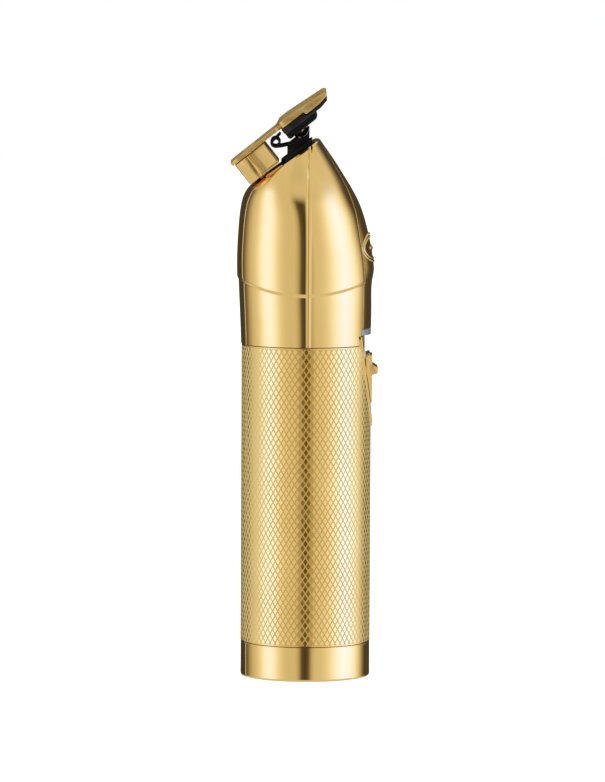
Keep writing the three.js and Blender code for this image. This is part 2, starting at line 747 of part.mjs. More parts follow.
add('grip_barrel', gripBarrel(), satinGold);
add('housing_collar', housingCollar(), greyPlastic);
add('base_collar', baseCollar(), greyPlastic);
add('end_cap', endCap(), mirrorGold);
add('jack_bezel', jackBezel(), blackPlastic);
add('charge_jack', chargeJack(), blackPlastic);
add('jack_pin', jackPin(), steel);

add('fixed_blade', fixedBlade(), bladeGold, bladeSet);
add('moving_blade', movingBlade(), blackSteel, bladeSet);
add('blade_follower', bladeFollower(), blackPlastic, bladeSet);
add('blade_bracket', bladeBracket(), mirrorGold, bladeSet);
for (const [name, side] of [['left', -1], ['right', 1]]) {
  const screw = add(`blade_screw_${name}`, bladeScrew(), steel, bladeSet);
  screw.position.set(BLADE_SCREW.along, side * BLADE_SCREW.y, 0);
}
add('tension_spring', tensionSpring(), blackSteel);

add('drive_arm', driveArm(), blackPlastic);
add('drive_tip', driveTip(), brass);
add('arm_pivot_pin', armPivotPin(), steel);
add('drive_frame', driveFrame(), greyPlastic);
for (const [name, side] of [['left', -1], ['right', 1]]) {
  add(`bracket_screw_${name}`, bracketScrew(), steel).position.set(
    BRACKET.screwX, side * BRACKET.screwY, 0,
  );
  add(`motor_screw_${name}`, motorScrew(), steel).position.set(AXIS_X, side * 8, 0);
}

add('motor_can', motorCan(), steel);
add('motor_end_bell', motorEndBell(), blackPlastic);
add('motor_bearing', motorBearing(), brass);
add('motor_armature', motorArmature(), copper);
add('rotor_shaft', rotorShaft(), steel);
add('eccentric_cam', eccentricCam(), brass);

add('chassis', chassis(), greyPlastic);
add('battery_cell', batteryCell(), cellWrap);
add('battery_tab_bottom', batteryTab(12.7), steel);
add('battery_tab_top', batteryTab(BATTERY.top + 0.3), steel);
add('circuit_board', circuitBoard(), boardGreen);
add('indicator_led', indicatorLed(), smokedClear);
add('motor_lead_red', motorLead(1), redWire);
add('motor_lead_black', motorLead(-1), blackPlastic);

// The heights above are measured from a datum just over the base, which comes to Z = 0 here
trimmer.position.z = -CAP.base;

export default trimmer;
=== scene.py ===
# Cordless T-blade trimmer in polished gold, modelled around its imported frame.
# Sizes are in millimetres while a shape is made, and its mesh is in metres.

import math
import bpy
import bmesh
from mathutils import Matrix, Vector


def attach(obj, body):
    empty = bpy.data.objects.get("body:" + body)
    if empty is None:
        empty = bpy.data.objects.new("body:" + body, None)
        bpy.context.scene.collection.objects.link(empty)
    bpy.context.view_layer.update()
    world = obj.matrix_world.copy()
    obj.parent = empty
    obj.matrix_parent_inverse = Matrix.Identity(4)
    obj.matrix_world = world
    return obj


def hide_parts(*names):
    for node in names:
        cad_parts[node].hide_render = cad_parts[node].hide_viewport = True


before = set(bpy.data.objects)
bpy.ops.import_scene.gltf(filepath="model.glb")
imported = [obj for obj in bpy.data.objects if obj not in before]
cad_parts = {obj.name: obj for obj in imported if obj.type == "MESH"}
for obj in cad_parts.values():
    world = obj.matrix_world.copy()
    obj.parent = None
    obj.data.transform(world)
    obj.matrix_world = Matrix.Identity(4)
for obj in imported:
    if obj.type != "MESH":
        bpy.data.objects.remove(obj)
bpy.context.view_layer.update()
mm = 0.001
bladeTilt = math.radians(38.5)
baseDrop = 1  # the base lies this far under the datum that heights are measured from


# small tools

def lerp(a, b, t):
    return a + (b - a) * t


def mixPoints(p, q, t):
    return tuple(lerp(a, b, t) for a, b in zip(p, q))


def ease(low, high, x):
    t = min(max((x - low) / (high - low), 0), 1)
    return t * t * (3 - 2 * t)


def naturalSpline(xs, ys):
    # smooth curve through the points, as a function of x
    n = len(xs)
    gap = [xs[i + 1] - xs[i] for i in range(n - 1)]
    diag, rhs = [1.0] * n, [0.0] * n
    upper, lower = [0.0] * n, [0.0] * n
    for i in range(1, n - 1):
        lower[i], diag[i], upper[i] = gap[i - 1], 2 * (gap[i - 1] + gap[i]), gap[i]
        rhs[i] = 6 * ((ys[i + 1] - ys[i]) / gap[i] - (ys[i] - ys[i - 1]) / gap[i - 1])
    for i in range(1, n):
        w = lower[i] / diag[i - 1]
        diag[i] -= w * upper[i - 1]
        rhs[i] -= w * rhs[i - 1]
    bend = [0.0] * n
    for i in range(n - 1, -1, -1):
        bend[i] = (rhs[i] - (upper[i] * bend[i + 1] if i < n - 1 else 0)) / diag[i]

    def value(x):
        i = 0
        while i < n - 2 and x > xs[i + 1]:
            i += 1
        h, a, b = gap[i], xs[i + 1] - x, x - xs[i]
        return (bend[i] * a ** 3 + bend[i + 1] * b ** 3) / (6 * h) \
            + (ys[i] / h - bend[i] * h / 6) * a + (ys[i + 1] / h - bend[i + 1] * h / 6) * b
    return value


def meshObject(name, verts, faces, sharp=28, weld=1e-4):
    mesh = bpy.data.meshes.new(name)
    bm = bmesh.new()
    made = [bm.verts.new(Vector(v) * mm) for v in verts]
    for face in faces:
        ring = []
        for i in face:
            if made[i] not in ring:
                ring.append(made[i])
        if len(ring) > 2:
            bm.faces.new(ring)
    bmesh.ops.remove_doubles(bm, verts=bm.verts, dist=weld * mm)
    bmesh.ops.recalc_face_normals(bm, faces=bm.faces)
    bm.to_mesh(mesh)
    bm.free()
    obj = bpy.data.objects.new(name, mesh)
    bpy.context.scene.collection.objects.link(obj)
    softShade(obj, sharp)
    return obj


def softShade(obj, sharp=28):
    obj.data.shade_smooth()
    obj.data.set_sharp_from_angle(angle=math.radians(sharp))


def bakeModifiers(obj):
    graph = bpy.context.evaluated_depsgraph_get()
    mesh = bpy.data.meshes.new_from_object(obj.evaluated_get(graph))
    obj.modifiers.clear()
    obj.data = mesh
    return obj


def carve(obj, tool, how="DIFFERENCE"):
    step = obj.modifiers.new("carve", "BOOLEAN")
    step.operation = how
    step.solver = "EXACT"
    step.object = tool
    bakeModifiers(obj)
    bpy.data.objects.remove(tool)
    return obj


def roundEdges(obj, width, segments=2, angle=30, sharp=28):
    step = obj.modifiers.new("round", "BEVEL")
    step.width = width * mm
    step.segments = segments
    step.limit_method = "ANGLE"
    step.angle_limit = math.radians(angle)
    bakeModifiers(obj)
    softShade(obj, sharp)
    return obj


def lathe(name, profile, steps=96, centre=(0, 0), sharp=28):
    # profile of (radius, height), turned about Z
    verts, faces = [], []
    for i in range(steps):
        a = 2 * math.pi * i / steps
        verts += [(centre[0] + r * math.cos(a), centre[1] + r * math.sin(a), z) for r, z in profile]
    n = len(profile)
    for i in range(steps):
        j = (i + 1) % steps
        for k in range(n - 1):
            faces.append((i * n + k, j * n + k, j * n + k + 1, i * n + k + 1))
        if profile[0] != profile[-1] and (profile[0][0] > 0 or profile[-1][0] > 0):
            faces.append((i * n + n - 1, j * n + n - 1, j * n, i * n))
    return meshObject(name, verts, faces, sharp)


def prism(name, outline, low, high, plane="xy"):
    # outline carried from low to high along the axis that the plane leaves out
    place = {
        "xy": lambda a, b, c: (a, b, c),
        "xz": lambda a, b, c: (a, c, b),
        "yz": lambda a, b, c: (c, a, b),
    }[plane]
    n = len(outline)
    verts = [place(a, b, low) for a, b in outline] + [place(a, b, high) for a, b in outline]
    faces = [(i, (i + 1) % n, n + (i + 1) % n, n + i) for i in range(n)]
    faces += [tuple(range(n)), tuple(range(n, 2 * n))]
    return meshObject(name, verts, faces)


def boxShape(name, x, y, z):
    return prism(name, [(x[0], y[0]), (x[1], y[0]), (x[1], y[1]), (x[0], y[1])], z[0], z[1])


def arcPoints(cx, cy, r, start, end, steps):
    return [
        (cx + r * math.cos(math.radians(lerp(start, end, i / steps))),
         cy + r * math.sin(math.radians(lerp(start, end, i / steps))))
        for i in range(steps + 1)
    ]


def turnMesh(obj, matrix):
    obj.data.transform(matrix)
    return obj


def fromBlade(obj):
    # the blade's frame has X to the tips and Z towards the skin
    return turnMesh(obj, Matrix.Rotation(-bladeTilt, 4, "Y"))


def ringFaces(rings, around):
    # quads between neighbouring closed rings of points
    return [
        (r * around + k, r * around + (k + 1) % around,
         (r + 1) * around + (k + 1) % around, (r + 1) * around + k)
        for r in range(rings - 1) for k in range(around)
    ]


def wireTube(name, path, radius, sides=10):
    points = [Vector(p) for p in path]
    verts = []
    side = Vector((0, 1, 0))
    for i, p in enumerate(points):
        ahead = (points[min(i + 1, len(points) - 1)] - points[max(i - 1, 0)]).normalized()
        side = (side - ahead * side.dot(ahead)).normalized()
        other = ahead.cross(side)
        for k in range(sides):
            a = 2 * math.pi * k / sides
            verts.append(tuple(p + radius * (side * math.cos(a) + other * math.sin(a))))
    last = (len(points) - 1) * sides
    faces = ringFaces(len(points), sides) + [tuple(range(sides)), tuple(range(last, last + sides))]
    return meshObject(name, verts, faces, 40)


# materials

def link(tree, a, b):
    tree.links.new(a, b)


def newMaterial(name, metal, coat=0.0):
    material = bpy.data.materials.new(name)
    material.use_nodes = True
    tree = material.node_tree
    shader = tree.nodes["Principled BSDF"]
    shader.inputs["Metallic"].default_value = metal
    shader.inputs["Coat Weight"].default_value = coat
    return material, tree, shader


def noiseOf(tree, scale, stretch=(1, 1, 1), detail=4, turn=(0, 0, 0)):
    where = tree.nodes.new("ShaderNodeTexCoord")
    mapping = tree.nodes.new("ShaderNodeMapping")
    mapping.inputs["Scale"].default_value = stretch
    mapping.inputs["Rotation"].default_value = turn
    noise = tree.nodes.new("ShaderNodeTexNoise")
    noise.inputs["Scale"].default_value = scale
    noise.inputs["Detail"].default_value = detail
    link(tree, where.outputs["Object"], mapping.inputs["Vector"])
    link(tree, mapping.outputs["Vector"], noise.inputs["Vector"])
    return noise.outputs["Fac"]


def rampOf(tree, value, stops):
    ramp = tree.nodes.new("ShaderNodeValToRGB")
    elements = ramp.color_ramp.elements
    while len(elements) < len(stops):
        elements.new(0.5)
    for element, (place, color) in zip(elements, stops):
        element.position = place
        element.color = (*color, 1)
    link(tree, value, ramp.inputs["Fac"])
    return ramp.outputs["Color"]


def rangeOf(tree, value, low, high, start=0.3, end=0.7):
    node = tree.nodes.new("ShaderNodeMapRange")
    for socket, number in zip(node.inputs[1:5], (start, end, low, high)):
        socket.default_value = number
    link(tree, value, node.inputs["Value"])
    return node.outputs["Result"]


def bumpOf(tree, shader, height, strength, distance):
    bump = tree.nodes.new("ShaderNodeBump")
    bump.inputs["Strength"].default_value = strength
    bump.inputs["Distance"].default_value = distance
    link(tree, height, bump.inputs["Height"])
    link(tree, bump.outputs["Normal"], shader.inputs["Normal"])


def surface(name, dark, light, rough, metal=0.0, scale=60, bump=0.02, grain=900,
            stretch=(1, 1, 1), turn=(0, 0, 0), coat=0.0, shine=0.5):
    # colour drifts from dark to light, roughness drifts with it, and a fine grain lifts the surface
    material, tree, shader = newMaterial(name, metal, coat)
    shader.inputs["Specular IOR Level"].default_value = shine
    drift = noiseOf(tree, scale, stretch, 3, turn)
    link(tree, rampOf(tree, drift, [(0.3, dark), (0.7, light)]), shader.inputs["Base Color"])
    link(tree, rangeOf(tree, noiseOf(tree, scale * 4, stretch, 5, turn), *rough), shader.inputs["Roughness"])
    bumpOf(tree, shader, noiseOf(tree, grain, stretch, 3, turn), bump, 0.00005)
    return material


gold = {
    "deep": (0.86, 0.57, 0.215),
    "warm": (0.92, 0.64, 0.262),
    "knurlDeep": (0.90, 0.66, 0.285),
    "knurlWarm": (0.96, 0.72, 0.33),
    "bladeDeep": (0.74, 0.46, 0.14),
    "bladeWarm": (0.92, 0.63, 0.25),
}
finishes = {
    "mirrorGold": surface("mirrorGold", gold["deep"], gold["warm"], (0.035, 0.075), 1.0, 45, 0.006, 500),
    "knurlGold": surface("knurlGold", gold["knurlDeep"], gold["knurlWarm"], (0.13, 0.22), 1.0, 60, 0.04, 1500),
    "bladeGold": surface("bladeGold", gold["bladeDeep"], gold["bladeWarm"], (0.3, 0.42), 1.0, 260, 0.2, 1800,
                         (0.25, 1, 1.6)),
    "brushedGold": surface("brushedGold", gold["deep"], gold["warm"], (0.18, 0.27), 1.0, 90, 0.05, 1600,
                           (1, 0.2, 1)),
    "blackPlastic": surface("blackPlastic", (0.003, 0.003, 0.005), (0.007, 0.006, 0.010), (0.25, 0.4), 0.0,
                            150, 0.15, 3000, shine=0.25),
    "greyPlastic": surface("greyPlastic", (0.13, 0.13, 0.135), (0.2, 0.2, 0.21), (0.45, 0.6), 0.0,
                           90, 0.2, 2500),
    "blackSteel": surface("blackSteel", (0.006, 0.006, 0.009), (0.016, 0.016, 0.021), (0.2, 0.34), 0.3,
                          200, 0.2, 2500, (1, 0.1, 1), shine=0.4),
    "steel": surface("steel", (0.36, 0.36, 0.38), (0.56, 0.56, 0.58), (0.22, 0.36), 1.0, 150, 0.2, 2500,
                     (1, 0.08, 1)),
    "brass": surface("brass", (0.78, 0.52, 0.17), (0.9, 0.64, 0.27), (0.28, 0.38), 1.0, 80, 0.05, 1500),
    "copper": surface("copper", (0.38, 0.13, 0.06), (0.55, 0.22, 0.1), (0.3, 0.5), 0.9, 300, 0.4, 1800,
                      (8, 8, 0.6)),
    "boardGreen": surface("boardGreen", (0.015, 0.09, 0.035), (0.03, 0.16, 0.06), (0.3, 0.45), 0.0,
                          400, 0.2, 1200, coat=0.3),
    "cellWrap": surface("cellWrap", (0.03, 0.08, 0.24), (0.05, 0.12, 0.34), (0.3, 0.42), 0.0, 50, 0.1, 700),
    "redWire": surface("redWire", (0.3, 0.015, 0.015), (0.45, 0.03, 0.03), (0.4, 0.55), 0.0, 300, 0.1, 2000),
}


def smokedClear():
    material, tree, shader = newMaterial("smokedClear", 0.0, 0.4)
    drift = noiseOf(tree, 220, (1, 1, 3))
    link(tree, rampOf(tree, drift, [(0.3, (0.22, 0.24, 0.26)), (0.7, (0.42, 0.45, 0.48))]),
         shader.inputs["Base Color"])
    link(tree, rangeOf(tree, noiseOf(tree, 700), 0.15, 0.3), shader.inputs["Roughness"])
    shader.inputs["Transmission Weight"].default_value = 0.35
    shader.inputs["IOR"].default_value = 1.49
    return material


finishes["smokedClear"] = smokedClear()


def fit(obj, finish, body, *nodes):
    # lifts a piece from the datum, dresses it, hangs it on its body, and hides the imported parts it stands for
    obj.data.transform(Matrix.Translation((0, 0, baseDrop * mm)))
    obj.data.materials.clear()
    obj.data.materials.append(finishes[finish])
    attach(obj, body)
    if nodes:
        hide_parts(*nodes)
    return obj


# stage, camera and light

stage = {
    "distance": 1792, "height": 231, "aim": (-1.03, 0, 80.05), "roll": 0.27, "lens": 294.6,
    "floorSize": 6.0,
}


def setCamera():
    data = bpy.data.cameras.new("viewCamera")
    data.lens = stage["lens"]
    data.sensor_width = 36
    data.clip_start, data.clip_end = 0.05, 50
    camera = bpy.data.objects.new("viewCamera", data)
    bpy.context.scene.collection.objects.link(camera)
    aim = Vector(stage["aim"]) * mm
    place = Vector((stage["aim"][0] * mm, -stage["distance"] * mm, stage["height"] * mm))
    facing = (aim - place).to_track_quat("-Z", "Y").to_matrix().to_4x4()
    roll = Matrix.Rotation(math.radians(stage["roll"]), 4, "Z")
    camera.matrix_world = Matrix.Translation(place) @ facing @ roll
    bpy.context.scene.camera = camera


def setFloor():
    half = stage["floorSize"] / 2 / mm
    floor = boxShape("floor", (-half, half), (-half, half), (-10, -0.05))
    material, tree, shader = newMaterial("paleFloor", 0.0)
    shader.inputs["Base Color"].default_value = (0.93, 0.93, 0.93, 1)
    shader.inputs["Roughness"].default_value = 0.9
    shader.inputs["Specular IOR Level"].default_value = 0.0
    shader.inputs["Emission Color"].default_value = (1, 1, 1, 1)
    shader.inputs["Emission Strength"].default_value = 0.45
    floor.data.materials.append(material)
    floor.visible_glossy = False


studio = {
    # angles in degrees from the camera's side: the dark gap behind it opens, and the fill fades at the back
    "gap": (4, 17), "back": (98, 134), "fill": 0.62, "dark": 0.04, "ceiling": 0.68,
    # a broad softbox on each side and a thin strip at the left: direction, brightness, spread
    "right": [(76, 2.45, 25)],
    "left": [(68, 1.85, 17), (133.5, 0.95, 1.2)],
}


def lampLevel(side, angle):
    fill = studio["fill"] * ease(*studio["gap"], angle) * (1 - ease(*studio["back"], angle))
    boxes = sum(level * math.exp(-((angle - centre) / spread) ** 2) for centre, level, spread in studio[side])
    return studio["dark"] + fill + boxes


def lampAngles(side):
    # even steps round to the back, with closer ones across a thin lamp
    thin = [centre + spread * k for centre, level, spread in studio[side] if spread < 6 for k in range(-2, 3)]
    return sorted([*range(0, 144, 6), *thin, 180])


def lampColor(level):
    # the brighter the lamp, the cooler its light
    share = (1.2 * (1 - math.exp(-1.45 * level)), 1.6 * (1 - math.exp(-0.95 * level)), level)
    return tuple(channel / 3 for channel in share)


def setStudio():
    world = bpy.data.worlds.new("studio")
    bpy.context.scene.world = world
    world.use_nodes = True
    tree = world.node_tree
    tree.nodes.clear()

    def mathNode(kind, a, b=None):
        node = tree.nodes.new("ShaderNodeMath")
        node.operation = kind
        for socket, value in zip(node.inputs, (a, b)):
            if isinstance(value, (int, float)):
                socket.default_value = value
            elif value is not None:
                link(tree, value, socket)
        return node.outputs[0]

    where = tree.nodes.new("ShaderNodeTexCoord")
    split = tree.nodes.new("ShaderNodeSeparateXYZ")
    link(tree, where.outputs["Generated"], split.inputs[0])
    x, y, z = split.outputs
    turn = mathNode("ARCTAN2", mathNode("ABSOLUTE", x), mathNode("MULTIPLY", y, -1))
    share = mathNode("DIVIDE", turn, math.pi)
    sides = [
        rampOf(tree, share, [(angle / 180, lampColor(lampLevel(side, angle))) for angle in lampAngles(side)])
        for side in ("left", "right")
    ]
    halves = tree.nodes.new("ShaderNodeMix")
    halves.data_type = "RGBA"
    link(tree, mathNode("GREATER_THAN", x, 0.0), halves.inputs["Factor"])
    link(tree, sides[0], halves.inputs[6])
    link(tree, sides[1], halves.inputs[7])
    around = halves.outputs[2]
    lift = mathNode("ABSOLUTE", z)
    ceiling = tree.nodes.new("ShaderNodeMapRange")
    ceiling.interpolation_type = "SMOOTHSTEP"
    for socket, number in zip(ceiling.inputs[1:5], (0.2, 0.5, 0, 1)):
        socket.default_value = number
    link(tree, lift, ceiling.inputs["Value"])
    blend = tree.nodes.new("ShaderNodeMix")
    blend.data_type = "RGBA"
    link(tree, ceiling.outputs["Result"], blend.inputs["Factor"])
    link(tree, around, blend.inputs[6])
    blend.inputs[7].default_value = (*lampColor(studio["ceiling"]), 1)
    glow = tree.nodes.new("ShaderNodeBackground")
    glow.inputs["Strength"].default_value = 3
    link(tree, blend.outputs[2], glow.inputs["Color"])
    backdrop = tree.nodes.new("ShaderNodeBackground")
    backdrop.inputs["Color"].default_value = (1, 1, 1, 1)
    rays = tree.nodes.new("ShaderNodeLightPath")
    pick = tree.nodes.new("ShaderNodeMixShader")
    link(tree, rays.outputs["Is Camera Ray"], pick.inputs[0])
    link(tree, glow.outputs[0], pick.inputs[1])
    link(tree, backdrop.outputs[0], pick.inputs[2])
    out = tree.nodes.new("ShaderNodeOutputWorld")
    link(tree, pick.outputs[0], out.inputs["Surface"])

    lamp = bpy.data.lights.new("overhead", "AREA")
    lamp.shape = "DISK"
    lamp.size = 1.6
    lamp.energy = 14
    holder = bpy.data.objects.new("overhead", lamp)
    holder.location = (0, 0, 1.6)
    holder.visible_glossy = False
    bpy.context.scene.collection.objects.link(holder)
    bpy.context.scene.view_settings.view_transform = "Standard"


setCamera()
setFloor()
setStudio()
print("stage and materials ready")


# upper housing

housing = {
    "bottom": 92.6, "wall": 1.5, "seam": 0.5, "seamGap": 0.07,
    # height, rear reach, front reach, half width, X of the widest point, squareness
    "sections": [
        (92.6, -18.35, 17.95, 18.2, -0.2, 2), (99, -18.6, 18, 18.35, -0.3, 2),
        (108.9, -19.05, 18.1, 18.6, -0.5, 2), (116, -19.23, 17.6, 18.6, -0.4, 2),
        (124, -18.9, 16.1, 18.5, -0.6, 2), (130, -18.35, 14.5, 18.3, -1.2, 2.05),
        (133.5, -17.6, 12.9, 17.9, -2, 2.2), (137, -16, 11, 17, -2.5, 2.45),
        (142, -13, 8, 15.7, -2.5, 2.6), (147, -10, 4.9, 14.4, -2.5, 2.6), (152, -8, 1.6, 13, -2.5, 2.6),
    ],
    "crease": 109, "creaseDip": 2, "creaseStep": 0.37, "creaseHalf": 0.55,
    "rimTilt": 35.3, "peak": (3.1, 150.5), "rimDrop": 1.0, "heelDrop": 1.7, "heelX": -11.2, "heelSpread": 2.6,
    "panelWidth": 8.7, "peakWidth": 4, "panelBend": 125,
    # front edge of the spine as height and X
    "panel": [
        (90, 18.1), (97.2, 18.15), (104, 18.22), (109.4, 18.28), (110.9, 18.48), (112.9, 18.86), (115.5, 18.74),
        (119, 18.2), (124.3, 17.08), (130, 15.45), (134.5, 13.46), (139, 10.78), (143.5, 7.95),
        (147.9, 4.88), (152, 2.05),
    ],
}
sectionCurves = [
    naturalSpline([row[0] for row in housing["sections"]], [row[k] for row in housing["sections"]])
    for k in range(1, 6)
]
panelFace = naturalSpline(*zip(*housing["panel"]))


def rimHeight(x):
    px, pz = housing["peak"]
    return pz + (x - px) * math.tan(math.radians(housing["rimTilt"]))


def panelHalf(z):
    return lerp(housing["panelWidth"], housing["peakWidth"], ease(housing["panelBend"] - 6, 154, z))


def creaseGrow(z, angle):
    middle = housing["crease"] + housing["creaseDip"] * math.cos(2 * angle)
    half = housing["creaseHalf"]
    return housing["creaseStep"] * ease(middle - half, middle + half, z)


def bodyPoint(z, angle, inset=0.0):
    # the round body of the housing at one height; angle 0 is the front
    rear, front, side, middle, power = (curve(z) for curve in sectionCurves)
    grow = creaseGrow(z, angle) - inset
    c, s = math.cos(angle), math.sin(angle)
    reach = (front - middle if c > 0 else middle - rear) + grow
    return (
        middle + math.copysign(abs(c) ** (2 / power), c) * reach,
        math.copysign(abs(s) ** (2 / power), s) * (side + grow),
    )


def angleAtY(z, y):
    side, power = sectionCurves[2](z), sectionCurves[4](z)
    return math.asin(min(abs(y) / side, 1) ** (power / 2))


def angleAtX(z, x):
    front, middle, power = sectionCurves[1](z), sectionCurves[3](z), sectionCurves[4](z)
    return math.acos(min(max((x - middle) / (front - middle), 0), 1) ** (power / 2))


frontColumns = {
    # panel face, its rounded corner, its side wall, then the round body to the seam
    "face": [0, 0.14, 0.28, 0.42, 0.56, 0.68, 0.79, 0.88, 0.95],
    "wall": [0.04, 0.3, 0.6, 0.85, 0.97],
    "body": 30,
    "edge": 0.75,
}


def frontColumn(z):
    # one side of the front shell's section, from the middle of the panel to the seam
    w, face = panelHalf(z), panelFace(z)
    start = angleAtY(z, w)
    foot = bodyPoint(z, start)
    deep = max(face - foot[0], 0.05)
    crown = 0.94 * deep
    corner = 0.5 * (deep - crown)
    points = [(face - crown * t * t, (w - corner) * t) for t in frontColumns["face"]]
    points += [
        (face - crown - corner * (1 - math.sin(a)), w - corner * (1 - math.cos(a)))
        for a in (math.pi / 2, math.pi / 3, math.pi / 6, 0)
    ]
    top = face - crown - corner
    points += [(lerp(top, foot[0], t), w) for t in frontColumns["wall"]]
    end = angleAtX(z, housing["seam"] + frontColumns["edge"])
    count = frontColumns["body"]
    points += [bodyPoint(z, lerp(start + 0.02, end, i / count)) for i in range(count + 1)]
    seamX = housing["seam"] + housing["seamGap"] / 2
    last = bodyPoint(z, angleAtX(z, seamX))
    points += [(lerp(points[-1][0], seamX, 0.5), points[-1][1] - 0.16), (seamX, last[1] - 0.34)]
    return points


def rearColumn(z):
    # one side of the rear shell's section, from the seam to the middle of the back
    seamX = housing["seam"] - housing["seamGap"] / 2
    start = angleAtX(z, seamX)
    first = bodyPoint(z, start)
    points = [(seamX, first[1] - 0.3), (seamX - 0.12, first[1] - 0.08)]
    count = 56
    return points + [bodyPoint(z, lerp(start + 0.03, math.pi, i / count)) for i in range(count + 1)]


def inwardPoint(z, point, inset):
    # the same place on the inner wall
    side, power, middle = sectionCurves[2](z), sectionCurves[4](z), sectionCurves[3](z)
    front, rear = sectionCurves[1](z), sectionCurves[0](z)
    reach = front - middle if point[0] > middle else middle - rear
    angle = math.atan2(abs(point[1] / side) ** (power / 2),
                       math.copysign(abs((point[0] - middle) / reach) ** (power / 2), point[0] - middle))
    x, y = bodyPoint(z, angle, inset)
    return (x, math.copysign(y, point[1]) if point[1] else 0.0)


def solveRim(column, index, inset, drop):
    # height at which one column meets the slanted rim, less drop
    low, high = 120.0, 151.9
    for _ in range(26):
        z = (low + high) / 2
        p = column(z)[index]
        x = inwardPoint(z, p, inset)[0] if inset else p[0]
        if z > rimHeight(x) - drop:
            high = z
        else:
            low = z
    return low


def rowHeights(angle, top):
    # rows gather at the crease, follow its dip, then fan out to the rim
    middle = housing["crease"] + housing["creaseDip"] * math.cos(2 * angle)
    half = housing["creaseHalf"]
    rows = [lerp(housing["bottom"], middle - 2 * half, i / 10) for i in range(11)]
    rows += [middle + half * t for t in (-1.4, -1, -0.7, -0.4, -0.15, 0.15, 0.4, 0.7, 1, 1.4)]
    rows += [lerp(middle + 2 * half, 124, i / 9) for i in range(10)]
    rows += [lerp(124, top, i / 30) for i in range(1, 31)]
    return rows


def shellObject(name, column):
    # a closed half shell: outer rows, rounded rim, inner rows and the two seam faces
    outer, inner, rim = [], [], []
    count = len(column(100))
    columnAngles = [math.atan2(p[1], p[0] - sectionCurves[3](109)) for p in column(109)]
    for k in range(count):
        edgeX = column(solveRim(column, k, 0, 0))[k][0]
        heel = math.exp(-((edgeX - housing["heelX"]) / housing["heelSpread"]) ** 2)
        top = solveRim(column, k, 0, housing["rimDrop"] + housing["heelDrop"] * heel)
        heights = rowHeights(columnAngles[k], top)
        outer.append([(*column(z)[k], z) for z in heights])
        low = solveRim(column, k, 0.95, 0.05)
        mouth = solveRim(column, k, housing["wall"], 0.25)
        edge = (*inwardPoint(low, column(low)[k], 0.95), low)
        lip = (*inwardPoint(mouth, column(mouth)[k], housing["wall"]), mouth)
        last = outer[-1][-1]
        bulge = mixPoints(last, edge, 0.5)
        outward = Vector((last[0] - lip[0], last[1] - lip[1], 0)).normalized() * 0.16
        rim.append([(bulge[0] + outward.x, bulge[1] + outward.y, bulge[2] + 0.1), edge])
        floor = housing["bottom"]
        wall = []
        for i in range(9):
            z = lerp(floor, mouth, i / 8)
            wall.append((*inwardPoint(z, column(z)[k], housing["wall"]), z))
        inner.append(wall)
    return buildShell(name, outer, inner, rim)


def buildShell(name, outer, inner, rim):
    # each argument lists half the columns, which are mirrored across the middle plane
    flip = lambda points: [(x, -y, z) for x, y, z in points]
    startsAtMiddle = abs(outer[0][0][1]) < 1e-6
    loops = []
    for kind in (outer, rim, inner):
        half = [list(points) for points in kind]
        if startsAtMiddle:
            loops.append([flip(points) for points in reversed(half[1:])] + half)
        else:
            loops.append(half + [flip(points) for points in reversed(half[:-1])])
    whole = [loops[0][k] + loops[1][k] + list(reversed(loops[2][k])) for k in range(len(loops[0]))]
    count = len(whole[0])
    verts = [p for points in whole for p in points]
    faces = []
    for k in range(len(whole) - 1):
        for r in range(count):
            s = (r + 1) % count
            faces.append((k * count + r, k * count + s, (k + 1) * count + s, (k + 1) * count + r))
    for k in (0, len(whole) - 1):
        base = k * count
        faces.append(tuple(base + i for i in range(count)))
    return meshObject(name, verts, faces, 24)


frontShell = shellObject("frontShell", frontColumn)
rearShell = shellObject("rearShell", rearColumn)
print("housing shells lofted")


# grip barrel with its diamond knurl

barrel = {
    "radius": 18.22, "wall": 1.6, "bottom": 8.78, "top": 92.4, "lip": 0.45, "lipRadius": 18.2,
    "starts": 72, "rowHeight": 1.275, "depth": 0.2, "flat": 0.75,
}


